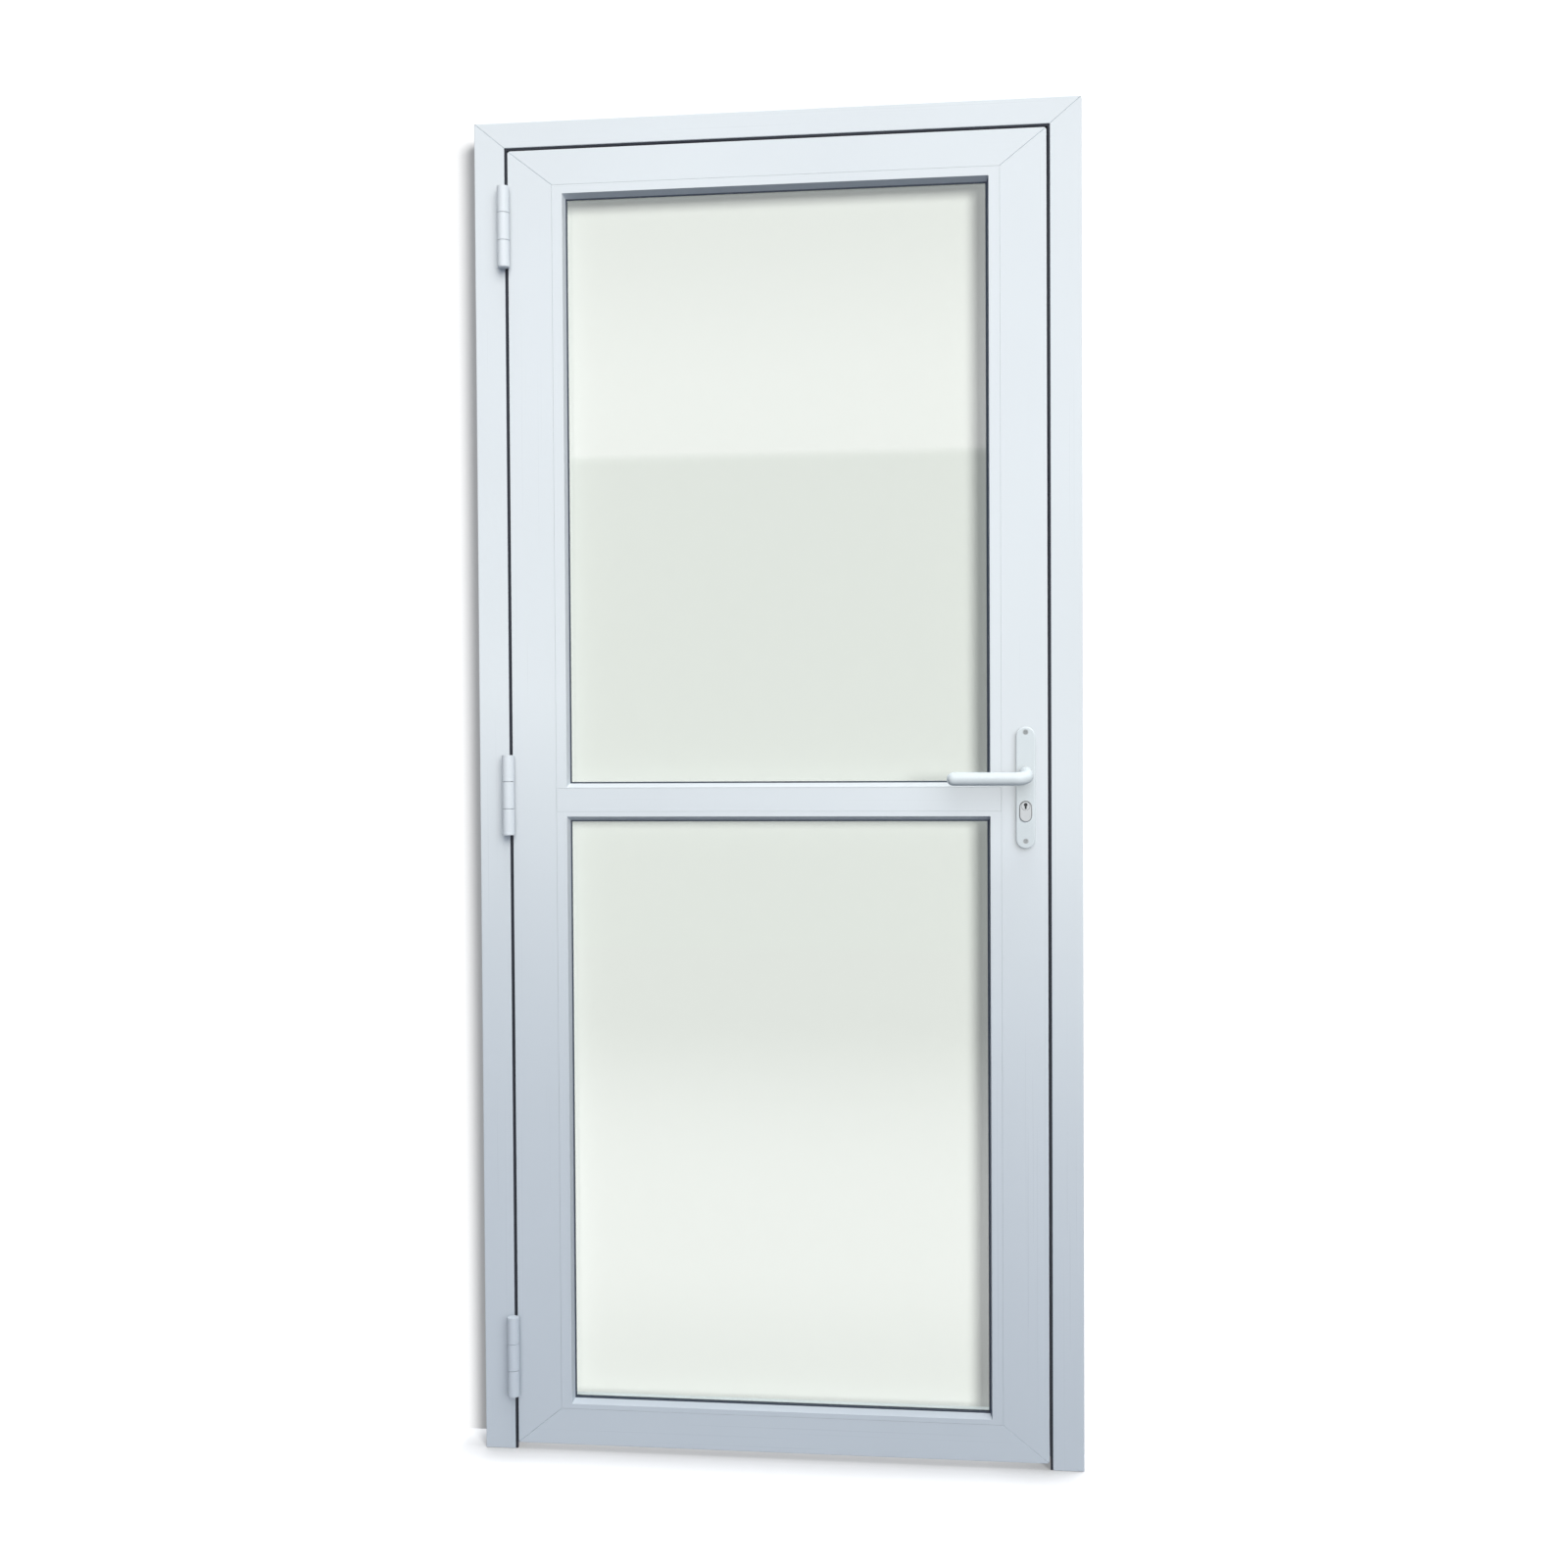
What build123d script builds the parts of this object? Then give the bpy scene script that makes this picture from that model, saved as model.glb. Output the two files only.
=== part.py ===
from build123d import *
import os

# A white glazed door in its frame, in millimetres. X runs across the door from the hinge
# side, Y runs from the front towards the back, and Z runs up from the floor. The origin
# is on the hinge jamb's outer side face, at mid depth and at floor level.

# Frame
overall_width = 945.0
overall_height = 2100.0
frame_depth = 70.0
jamb_face = 48.0
head_face = 40.0
stop_depth = 15.0
jamb_stop_width = 12.0
head_stop_width = 10.0
hinge_corner_radius = 1.5
lock_corner_radius = 3.6
profile_edge_radius = 1.2

# Leaf
edge_gap = 5.0
floor_gap = 10.0
leaf_thickness = 50.0
leaf_corner_radius = 4.5
closing_edge_relief = 2.5
closing_lip_depth = 10.0
stile_face = 87.5
top_rail_face = 69.0
bottom_rail_face = 65.0
mid_rail_bottom = 1009.0
mid_rail_top = 1055.0

# Glazing
side_bead_flat = 17.0
top_bead_flat = 14.0
low_bead_flat = 8.0
sill_bead_flat = 1.5
side_bevel = 3.0
rail_bevel = 6.0
bead_depth = 12.0
bead_foot = 4.0
gasket_reveal = 2.0
gasket_thickness = 3.0
gasket_cover = 5.0
sheet_thickness = 4.0
glass_unit_thickness = 20.0
glass_edge_clearance = 1.0
spacer_side_edge = 3.0
spacer_rail_edge = 1.0
spacer_width = 6.5
spacer_low_width = 3.5
back_lip_thickness = 12.0
back_lip_inset = 9.0

# Fine grooves along the welded corners and the bead joints
weld_groove_width = 1.3
weld_groove_depth = 1.2
joint_groove_width = 0.8
joint_groove_depth = 0.7
rail_end_groove_width = 1.1
rail_end_groove_depth = 1.2
groove_overrun = 3.0

# Weather seals on the frame
edge_seal_thickness = 3.5
edge_seal_width = 5.0
edge_seal_setback = 2.0
stop_seal_thickness = 4.5
stop_seal_width = 4.0
stop_seal_side_inset = 6.0
stop_seal_lock_inset = 9.0

# Hinges
hinge_heights = {"upper": 1934.5, "middle": 1043.5, "lower": 151.0}
hinge_length = 126.0
hinge_axis_x = 48.5
knuckle_radius = 9.6
knuckle_face_clearance = 0.5
knuckle_end_clearance = 0.9
hinge_plate_thickness = 2.5
hinge_plate_depth = 30.0
hinge_plate_reach = 2.0
pin_radius = 4.0
pin_bore_radius = 4.05
pin_cap_radius = 9.3
pin_cap_height = 1.2

# Handle set
spindle_x = 858.0
spindle_height = 1075.0
spindle_side = 8.0
spindle_bore_radius = 6.5
backplate_width = 29.5
backplate_bottom = 959.5
backplate_top = 1146.0
backplate_thickness = 8.0
backplate_edge_radius = 2.0
collar_radius = 11.0
collar_height = 3.0
lever_radius = 10.25
neck_radius = 10.7
lever_tip_x = 739.0
lever_drop = 8.0
lever_standout = 39.0
lever_neck_lean = 3.0
lever_bend_radius = 17.0
lever_running_gap = 0.4
neck_length = 4.0
socket_depth = 16.0
plate_screw_heights = (971.0, 1137.5)
plate_screw_radius = 2.5
plate_screw_head_radius = 4.0
plate_screw_length = 24.0
plate_screw_sink = 0.6
plate_screw_ring = 0.5
cross_recess_length = 5.0
cross_recess_width = 1.4
cross_recess_depth = 1.4

# Lock
cylinder_width = 17.0
cylinder_height = 30.0
cylinder_middle = 1016.6
cylinder_proud = 2.5
cylinder_hole_gap = 1.2
plug_radius = 6.5
plug_middle = 1025.0
plug_ring_gap = 0.35
plug_ring_depth = 1.0
plug_proud = 0.6
keyway_lift = 1.8
keyway_radius = 2.8
keyway_slot_width = 2.7
keyway_slot_drop = 6.3
keyway_depth = 8.0
case_back_x = 838.0
case_bottom = 993.0
case_top = 1143.0
case_thickness = 15.0
faceplate_thickness = 2.5
faceplate_width = 16.0
faceplate_bottom = 60.0
faceplate_top = 2005.0
latch_bottom = 1058.0
latch_top = 1092.0
latch_thickness = 11.0
latch_setback = 0.4
latch_length = 12.0
bolt_bottom = 1004.0
bolt_top = 1030.0
strike_thickness = 2.0
strike_width = 24.0
strike_end_margin = 18.0
strike_hole_side_gap = 1.0
strike_hole_end_gap = 2.0

# Fixing holes through the jambs
fixing_hole_radius = 4.0
fixing_hole_y = 9.0
fixing_heights = (250.0, 750.0, 1350.0, 1850.0)

# Places worked out from the sizes above
front = -frame_depth / 2
back = frame_depth / 2
stop_front = back - stop_depth
inner_left = jamb_face
inner_right = overall_width - jamb_face
inner_top = overall_height - head_face
leaf_left = inner_left + edge_gap
leaf_right = inner_right - edge_gap
leaf_bottom = floor_gap
leaf_top = inner_top - edge_gap
leaf_back = front + leaf_thickness
leaf_middle = (front + leaf_back) / 2
lip_front = leaf_back - back_lip_thickness
bead_back = front + bead_depth
glass_front = bead_back + gasket_thickness
glass_back = glass_front + glass_unit_thickness
closing_edge = leaf_right - closing_edge_relief
opening_left = leaf_left + stile_face
opening_right = leaf_right - stile_face
opening_top = leaf_top - top_rail_face
opening_bottom = leaf_bottom + bottom_rail_face
hinge_axis_y = front - knuckle_face_clearance - knuckle_radius
plate_front = front - backplate_thickness


def block(x0, x1, y0, y1, z0, z1):
    """A box between two corners."""
    middle = Pos((x0 + x1) / 2, (y0 + y1) / 2, (z0 + z1) / 2)
    return middle * Box(x1 - x0, y1 - y0, z1 - z0)


def prism(outline, y0, y1):
    """An outline in X and Z, given thickness from y0 to y1."""
    plane = Plane(origin=(0, y1, 0), x_dir=(1, 0, 0), z_dir=(0, -1, 0))
    return extrude(plane * make_face(Polyline(*outline, close=True)), y1 - y0)


def section(outline, rounded):
    """A section of straight runs, with the corners at the given places rounded."""
    face = make_face(Polyline(*outline, close=True))
    for corner in rounded:
        nearest = face.vertices().sort_by_distance((*corner, 0))[0]
        face = fillet(nearest, profile_edge_radius)
    return face


def upright(outline, z0, z1, rounded=()):
    """A section in X and Y, run up from z0 to z1."""
    return extrude(Pos(0, 0, z0) * section(outline, rounded), z1 - z0)


def level(outline, x0, x1, rounded=()):
    """A section in Y and Z, run across from x0 to x1."""
    plane = Plane(origin=(x0, 0, 0), x_dir=(0, 1, 0), z_dir=(1, 0, 0))
    return extrude(plane * section(outline, rounded), x1 - x0)


def turned(radius, x, z, y0, y1):
    """A round bar along Y."""
    plane = Plane(origin=(x, y1, z), x_dir=(1, 0, 0), z_dir=(0, -1, 0))
    return extrude(plane * Circle(radius), y1 - y0)


def pill(width, height, x, z, y0, y1):
    """An upright bar with full-round ends, given thickness from y0 to y1."""
    plane = Plane(origin=(x, y1, z), x_dir=(0, 0, 1), z_dir=(0, -1, 0))
    return extrude(plane * SlotOverall(height, width), y1 - y0)


def ring(outer, inner, y0, y1):
    """A rectangular ring between two rectangles (left, right, bottom, top)."""
    return block(outer[0], outer[1], y0, y1, outer[2], outer[3]) - block(
        inner[0], inner[1], y0, y1, inner[2], inner[3]
    )


def grown(rectangle, left, right, bottom, top):
    """A rectangle (left, right, bottom, top) grown outwards on each side."""
    return (
        rectangle[0] - left,
        rectangle[1] + right,
        rectangle[2] - bottom,
        rectangle[3] + top,
    )


def side_outline(outer, inner, side):
    """The mitred outline of one side of the ring between two rectangles."""
    corners = {
        "left": ((0, 2), (0, 3)),
        "right": ((1, 2), (1, 3)),
        "bottom": ((0, 2), (1, 2)),
        "top": ((0, 3), (1, 3)),
    }[side]
    start, end = [[(box[i], box[j]) for box in (outer, inner)] for i, j in corners]
    return [start[0], start[1], end[1], end[0]]


def groove(start, end, width, depth):
    """A fine V-shaped cutter along the front face, a little past both ends in X and Z."""
    run = Vector(end[0] - start[0], 0, end[1] - start[1])
    along = run.normalized()
    across = along.cross(Vector(0, 1, 0)).normalized()
    origin = Vector(start[0], front, start[1]) - along * groove_overrun
    plane = Plane(origin=origin, x_dir=across, z_dir=along)
    outline = [(-width / 2, 0), (0, depth), (width / 2, 0), (0, -depth)]
    length = run.length + 2 * groove_overrun
    return extrude(plane * make_face(Polyline(*outline, close=True)), length)


def soft_edged_slab(x0, x1, z0, z1, y0, y1, corner_radii, edge_radius):
    """A slab whose upright corners and front edges are rounded."""
    slab = block(x0, x1, y0, y1, z0, z1)
    corners = {
        ("left", "bottom"): (x0, z0), ("left", "top"): (x0, z1),
        ("right", "bottom"): (x1, z0), ("right", "top"): (x1, z1),
    }
    for name, radius in corner_radii.items():
        x, z = corners[name]
        nearest = slab.edges().filter_by(Axis.Y).sort_by_distance((x, (y0 + y1) / 2, z))[0]
        slab = fillet(nearest, radius)
    return fillet(slab.faces().sort_by(Axis.Y)[0].edges(), edge_radius)


# Rectangles (left, right, bottom, top) of the glazing, from the face inwards
upper_opening = (opening_left, opening_right, mid_rail_top, opening_top)
lower_opening = (opening_left, opening_right, opening_bottom, mid_rail_bottom)
upper_joint = grown(upper_opening, side_bead_flat, side_bead_flat, sill_bead_flat, top_bead_flat)
lower_joint = grown(lower_opening, side_bead_flat, side_bead_flat, low_bead_flat, low_bead_flat)
leaf_outline = (leaf_left, leaf_right, leaf_bottom, leaf_top)


def bevel_end(opening):
    return grown(opening, -side_bevel, -side_bevel, -rail_bevel, -rail_bevel)


def sight_line(opening):
    ends = bevel_end(opening)
    return grown(ends, -gasket_reveal, -gasket_reveal, -gasket_reveal, -gasket_reveal)


# The back lip lies on the same mitre planes as the front of the profile
lip_left = sight_line(upper_opening)[0] - back_lip_inset
lip_right = sight_line(upper_opening)[1] + back_lip_inset
lip_run = lip_left - upper_joint[0]
joint_run = upper_joint[0] - leaf_left
lip_top = upper_joint[3] - lip_run * (leaf_top - upper_joint[3]) / joint_run
lip_bottom = lower_joint[2] + lip_run * (lower_joint[2] - leaf_bottom) / joint_run
mid_lip_top = sight_line(upper_opening)[2]
mid_lip_bottom = sight_line(lower_opening)[3]
front_ring = (upper_joint[0], upper_joint[1], lower_joint[2], upper_joint[3])
back_ring = (lip_left, lip_right, lip_bottom, lip_top)


def make_frame():
    """The hinge jamb, the lock jamb and the head, mitred and welded at the top corners."""
    slab = soft_edged_slab(
        0, overall_width, 0, overall_height, front, back,
        {("left", "top"): hinge_corner_radius, ("right", "top"): lock_corner_radius},
        profile_edge_radius,
    )
    stop_left = inner_left + jamb_stop_width
    stop_right = inner_right - jamb_stop_width
    stop_top = inner_top - head_stop_width
    hinge_section = [
        (0, front), (inner_left, front), (inner_left, stop_front),
        (stop_left, stop_front), (stop_left, back), (0, back),
    ]
    lock_section = [(overall_width - x, y) for x, y in hinge_section]
    head_section = [
        (front, overall_height), (front, inner_top), (stop_front, inner_top),
        (stop_front, stop_top), (back, stop_top), (back, overall_height),
    ]
    hinge_side = [(0, 0), (stop_left, 0), (stop_left, stop_top), (0, overall_height)]
    lock_side = [(overall_width - x, z) for x, z in hinge_side]
    top_side = [
        (0, overall_height), (stop_left, stop_top),
        (stop_right, stop_top), (overall_width, overall_height),
    ]
    hinge_run = upright(hinge_section, 0, overall_height, (hinge_section[1], hinge_section[3]))
    lock_run = upright(lock_section, 0, overall_height, (lock_section[1], lock_section[3]))
    head_run = level(head_section, 0, overall_width, (head_section[1], head_section[3]))
    parts = {
        "hinge_jamb": hinge_run & prism(hinge_side, front, back),
        "lock_jamb": lock_run & prism(lock_side, front, back),
        "head": head_run & prism(top_side, front, back),
    }
    left_weld = groove((0, overall_height), (inner_left, inner_top), weld_groove_width, weld_groove_depth)
    right_weld = groove(
        (overall_width, overall_height), (inner_right, inner_top), weld_groove_width, weld_groove_depth
    )
    parts["hinge_jamb"] = (parts["hinge_jamb"] & slab) - left_weld
    parts["lock_jamb"] = (parts["lock_jamb"] & slab) - right_weld
    parts["head"] = (parts["head"] & slab) - left_weld - right_weld
    for height in fixing_heights:
        drill = Rot(0, 90, 0) * Cylinder(fixing_hole_radius, 2 * stop_left)
        parts["hinge_jamb"] -= Pos(inner_left / 2, fixing_hole_y, height) * drill
        parts["lock_jamb"] -= Pos(overall_width - inner_left / 2, fixing_hole_y, height) * drill
    return parts


def make_seals():
    """The dark seal in the gap round the leaf, and the one that the leaf closes against."""
    y0 = front + edge_seal_setback
    y1 = y0 + edge_seal_width
    outer = (inner_left, inner_right, 0, inner_top)
    inner = grown(outer, -edge_seal_thickness, -edge_seal_thickness, 1, -edge_seal_thickness)
    edge_seal = ring(outer, inner, y0, y1)
    stop_y0 = stop_front - stop_seal_thickness
    stop_outer = grown(
        outer, -stop_seal_side_inset, -stop_seal_lock_inset, -leaf_bottom, -edge_gap
    )
    stop_inner = grown(
        stop_outer, -stop_seal_width, -stop_seal_width, 1, -stop_seal_width
    )
    return {"edge_seal": edge_seal, "stop_seal": ring(stop_outer, stop_inner, stop_y0, stop_front)}


def make_leaf():
    """Two stiles and three rails, with a lip at the back and a rebate for the glass in front."""
    slab = soft_edged_slab(
        leaf_left, leaf_right, leaf_bottom, leaf_top, front, leaf_back,
        {(side, end): leaf_corner_radius for side in ("left", "right") for end in ("bottom", "top")},
        profile_edge_radius,
    )
    slab -= block(
        closing_edge, leaf_right + 1, front + closing_lip_depth, leaf_back + 1, 0, overall_height
    )
    names = {"left": "hinge_stile", "right": "lock_stile", "top": "top_rail", "bottom": "bottom_rail"}
    parts = {}
    for side, name in names.items():
        outline = side_outline(leaf_outline, front_ring, side)
        lip_outline = side_outline(leaf_outline, back_ring, side)
        parts[name] = prism(outline, front, lip_front) + prism(lip_outline, lip_front, leaf_back)
        parts[name] &= slab
    for i in (0, 1):
        for j, rail in ((2, "bottom_rail"), (3, "top_rail")):
            weld = groove(
                (leaf_outline[i], leaf_outline[j]), (front_ring[i], front_ring[j]),
                weld_groove_width, weld_groove_depth,
            )
            parts[rail] -= weld
            parts[("hinge_stile", "lock_stile")[i]] -= weld
    mid_rail = block(
        front_ring[0], front_ring[1], front, lip_front, lower_joint[3], upper_joint[2]
    ) + block(lip_left, lip_right, lip_front, leaf_back, mid_lip_bottom, mid_lip_top)
    for x in front_ring[:2]:
        mid_rail -= groove(
            (x, lower_joint[3]), (x, upper_joint[2]), rail_end_groove_width, rail_end_groove_depth
        )
    parts["mid_rail"] = mid_rail
    return parts


def make_bead(joint, opening, side):
    """One mitred glazing bead: a flat face, a bevel down to the glass and a foot behind."""
    ends = bevel_end(opening)
    index = {"left": 0, "right": 1, "bottom": 2, "top": 3}[side]
    foot = list(joint)
    for i, inward in enumerate((1, -1, 1, -1)):
        foot[i] = joint[i] + inward * bead_foot
    wedge = [(opening[index], front), (ends[index], bead_back), (opening[index], bead_back)]
    if side in ("left", "right"):
        bevel = upright(wedge, opening[2] - 1, opening[3] + 1)
        start, end = (joint[index], joint[2]), (joint[index], joint[3])
    else:
        bevel = level([(y, z) for z, y in wedge], opening[0] - 1, opening[1] + 1)
        start, end = (joint[0], joint[index]), (joint[1], joint[index])
    bevel &= prism(side_outline(opening, ends, side), front, bead_back)
    body = prism(side_outline(joint, opening, side), front, bead_back) + bevel
    body += prism(side_outline(joint, foot, side), bead_back, lip_front)
    return body - groove(start, end, joint_groove_width, joint_groove_depth)


def make_glazing():
    """Beads, gaskets, the two sheets of each sealed unit and the bar between them."""
    parts = {}
    for level_name, joint, opening in (
        ("upper", upper_joint, upper_opening),
        ("lower", lower_joint, lower_opening),
    ):
        for side in ("left", "right", "bottom", "top"):
            parts[f"{level_name}_{side}_bead"] = make_bead(joint, opening, side)
        inset = -(bead_foot + glass_edge_clearance)
        pane = grown(joint, inset, inset, inset, inset)
        sight = sight_line(opening)
        if level_name == "upper":
            lip = (lip_left, lip_right, mid_lip_top, lip_top)
        else:
            lip = (lip_left, lip_right, lip_bottom, mid_lip_bottom)
        front_gasket = ring(
            grown(sight, gasket_cover, gasket_cover, gasket_cover, gasket_cover),
            sight, bead_back, glass_front,
        )
        back_gasket = ring(
            grown(lip, gasket_cover, gasket_cover, gasket_cover, gasket_cover),
            lip, glass_back, lip_front,
        )
        parts[f"{level_name}_gaskets"] = Compound(
            children=[*front_gasket.solids(), *back_gasket.solids()]
        )
        front_sheet_back = glass_front + sheet_thickness
        back_sheet_front = glass_back - sheet_thickness
        parts[f"{level_name}_front_pane"] = block(
            pane[0], pane[1], glass_front, front_sheet_back, pane[2], pane[3]
        )
        parts[f"{level_name}_back_pane"] = block(
            pane[0], pane[1], back_sheet_front, glass_back, pane[2], pane[3]
        )
        spacer_outer = grown(
            pane, -spacer_side_edge, -spacer_side_edge, -spacer_rail_edge, -spacer_rail_edge
        )
        spacer_inner = grown(spacer_outer, -spacer_width, -spacer_width, -spacer_low_width, -spacer_width)
        parts[f"{level_name}_spacer"] = ring(
            spacer_outer, spacer_inner, front_sheet_back, back_sheet_front
        )
    return parts


def make_hinge(height):
    """A butt hinge: the outer knuckles on the jamb, the middle one on the leaf, and its pin."""
    knuckle_span = hinge_length - 2 * pin_cap_height
    bottom = height - knuckle_span / 2
    top = height + knuckle_span / 2
    middle_bottom = height - hinge_length / 6
    middle_top = height + hinge_length / 6
    centre = (hinge_axis_x, hinge_axis_y)

    def barrel(radius, z0, z1):
        return extrude(Pos(*centre, z0) * Circle(radius), z1 - z0)

    plate_front_y = front - hinge_plate_reach
    plate_back_y = front + hinge_plate_depth
    jamb_plate = block(
        inner_left - hinge_plate_thickness, inner_left, plate_front_y, plate_back_y, bottom, top
    )
    leaf_plate = block(
        leaf_left, leaf_left + hinge_plate_thickness, plate_front_y, plate_back_y, bottom, top
    )
    gap = knuckle_end_clearance
    swing_room = knuckle_radius + gap
    frame_half = jamb_plate - barrel(swing_room, middle_bottom - gap, middle_top + gap)
    frame_half += barrel(knuckle_radius, bottom, middle_bottom - gap)
    frame_half += barrel(knuckle_radius, middle_top + gap, top)
    frame_half -= barrel(pin_bore_radius, bottom - 1, top + 1)
    leaf_half = leaf_plate - barrel(swing_room, bottom - 1, middle_bottom)
    leaf_half -= barrel(swing_room, middle_top, top + 1)
    leaf_half += barrel(knuckle_radius, middle_bottom, middle_top)
    leaf_half -= barrel(pin_bore_radius, bottom - 1, top + 1)
    pin = barrel(pin_radius, bottom - 1, top + 1)
    pin += barrel(pin_cap_radius, bottom - pin_cap_height, bottom)
    pin += barrel(pin_cap_radius, top, top + pin_cap_height)
    jamb_recess = block(
        inner_left - hinge_plate_thickness, inner_left + 1, front - 1, plate_back_y, bottom, top
    )
    leaf_recess = block(
        leaf_left - 1, leaf_left + hinge_plate_thickness, front - 1, plate_back_y, bottom, top
    )
    return frame_half, leaf_half, pin, jamb_recess, leaf_recess


def make_backplate():
    """The slim front plate with its collar, before the screw holes."""
    height = backplate_top - backplate_bottom
    middle = (backplate_top + backplate_bottom) / 2
    plate = pill(backplate_width, height, spindle_x, middle, plate_front, front)
    plate = fillet(plate.faces().sort_by(Axis.Y)[0].edges(), backplate_edge_radius)
    plate += turned(collar_radius, spindle_x, spindle_height, plate_front - collar_height, plate_front)
    plate -= turned(spindle_bore_radius, spindle_x, spindle_height, plate_front - collar_height - 1, front + 1)
    plate -= pill(
        cylinder_width + 2 * cylinder_hole_gap, cylinder_height + 2 * cylinder_hole_gap,
        spindle_x, cylinder_middle, plate_front - 1, front + 1,
    )
    return plate


def make_lever():
    """The front lever: a round bar that leans out, bends and runs back towards the hinges."""
    root = plate_front - collar_height - lever_running_gap
    neck_top = root - neck_length
    grip_y = plate_front - lever_standout
    grip_height = spindle_height - lever_drop
    tip_middle_x = lever_tip_x + lever_radius
    path = FilletPolyline(
        (spindle_x, neck_top + 1, spindle_height),
        (spindle_x + lever_neck_lean, grip_y, grip_height),
        (tip_middle_x, grip_y, grip_height),
        radius=lever_bend_radius,
    )
    start = Plane(origin=path @ 0, z_dir=path % 0)
    lever = sweep(start * Circle(lever_radius), path=path)
    tip = Pos(tip_middle_x, grip_y, grip_height) * Sphere(lever_radius)
    lever += split(tip, Plane(origin=(tip_middle_x, 0, 0), z_dir=(-1, 0, 0)))
    lever += turned(neck_radius, spindle_x, spindle_height, neck_top, root)
    lever -= spindle_bar(root - socket_depth, root + 1)
    return lever


def spindle_bar(y0, y1):
    half = spindle_side / 2
    return block(spindle_x - half, spindle_x + half, y0, y1, spindle_height - half, spindle_height + half)


def make_plate_screws():
    """Two countersunk screws through the front plate, with cross recesses."""
    screws = []
    for height in plate_screw_heights:
        head = Pos(spindle_x, plate_front + plate_screw_sink, height) * Rot(-90, 0, 0)
        cone_height = plate_screw_head_radius - plate_screw_radius
        screw = head * Pos(0, 0, cone_height / 2) * Cone(
            plate_screw_head_radius, plate_screw_radius, cone_height
        )
        screw += head * Pos(0, 0, plate_screw_length / 2) * Cylinder(
            plate_screw_radius, plate_screw_length
        )
        for turn in (45, 135):
            screw -= head * Rot(0, 0, turn) * Box(
                cross_recess_length, cross_recess_width, 2 * cross_recess_depth
            )
        screws.append(screw)
    return screws


def make_cylinder():
    """The pill-shaped lock cylinder, with a keyway in the plug at both ends."""
    y0 = plate_front - cylinder_proud
    y1 = 2 * leaf_middle - y0
    body = pill(cylinder_width, cylinder_height, spindle_x, cylinder_middle, y0, y1)
    for end, outward in ((y0, -1), (y1, 1)):
        span = sorted((end - outward * plug_ring_depth, end + outward))
        ring_cut = turned(plug_radius + plug_ring_gap, spindle_x, plug_middle, *span)
        ring_cut -= turned(plug_radius, spindle_x, plug_middle, *span)
        body -= ring_cut
        body += turned(plug_radius, spindle_x, plug_middle, *sorted((end, end + outward * plug_proud)))
        key_span = sorted((end - outward * keyway_depth, end + outward * 2))
        keyway_middle = plug_middle + keyway_lift
        body -= turned(keyway_radius, spindle_x, keyway_middle, *key_span)
        body -= block(
            spindle_x - keyway_slot_width / 2, spindle_x + keyway_slot_width / 2,
            *key_span, keyway_middle - keyway_slot_drop, keyway_middle,
        )
    return body


def make_lock():
    """The lock case in the stile, its long faceplate, the held-back bolts and the strike."""
    case_y0 = leaf_middle - case_thickness / 2
    case_y1 = leaf_middle + case_thickness / 2
    face_y0 = leaf_middle - faceplate_width / 2
    face_y1 = leaf_middle + faceplate_width / 2
    case_front = closing_edge - faceplate_thickness
    case = block(case_back_x, case_front, case_y0, case_y1, case_bottom, case_top)
    case -= turned(spindle_bore_radius, spindle_x, spindle_height, case_y0 - 1, case_y1 + 1)
    case -= pill(cylinder_width, cylinder_height, spindle_x, cylinder_middle, case_y0 - 1, case_y1 + 1)
    faceplate = block(case_front, closing_edge, face_y0, face_y1, faceplate_bottom, faceplate_top)
    bolts = []
    for z0, z1 in ((latch_bottom, latch_top), (bolt_bottom, bolt_top)):
        hole = block(
            closing_edge - latch_length, closing_edge + 1,
            leaf_middle - latch_thickness / 2, leaf_middle + latch_thickness / 2, z0, z1,
        )
        faceplate -= hole
        case -= hole
        bolts.append(hole & block(0, closing_edge - latch_setback, front, back, 0, overall_height))
    strike_y0 = leaf_middle - strike_width / 2
    strike_y1 = leaf_middle + strike_width / 2
    strike = block(
        inner_right, inner_right + strike_thickness, strike_y0, strike_y1,
        bolt_bottom - strike_end_margin, latch_top + strike_end_margin,
    )
    strike_recess = strike
    for z0, z1 in ((latch_bottom, latch_top), (bolt_bottom, bolt_top)):
        strike -= block(
            inner_right - 1, inner_right + strike_thickness + 1,
            leaf_middle - latch_thickness / 2 - strike_hole_side_gap,
            leaf_middle + latch_thickness / 2 + strike_hole_side_gap,
            z0 - strike_hole_end_gap, z1 + strike_hole_end_gap,
        )
    case_room = block(case_back_x, case_front, case_y0, case_y1, case_bottom, case_top)
    faceplate_room = block(
        case_front, closing_edge + 1, face_y0, face_y1, faceplate_bottom, faceplate_top
    )
    return case, faceplate, bolts, strike, strike_recess, case_room + faceplate_room


def mirrored(shape):
    """The same piece on the back of the leaf."""
    return mirror(shape, about=Plane(origin=(0, leaf_middle, 0), z_dir=(0, 1, 0)))


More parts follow.
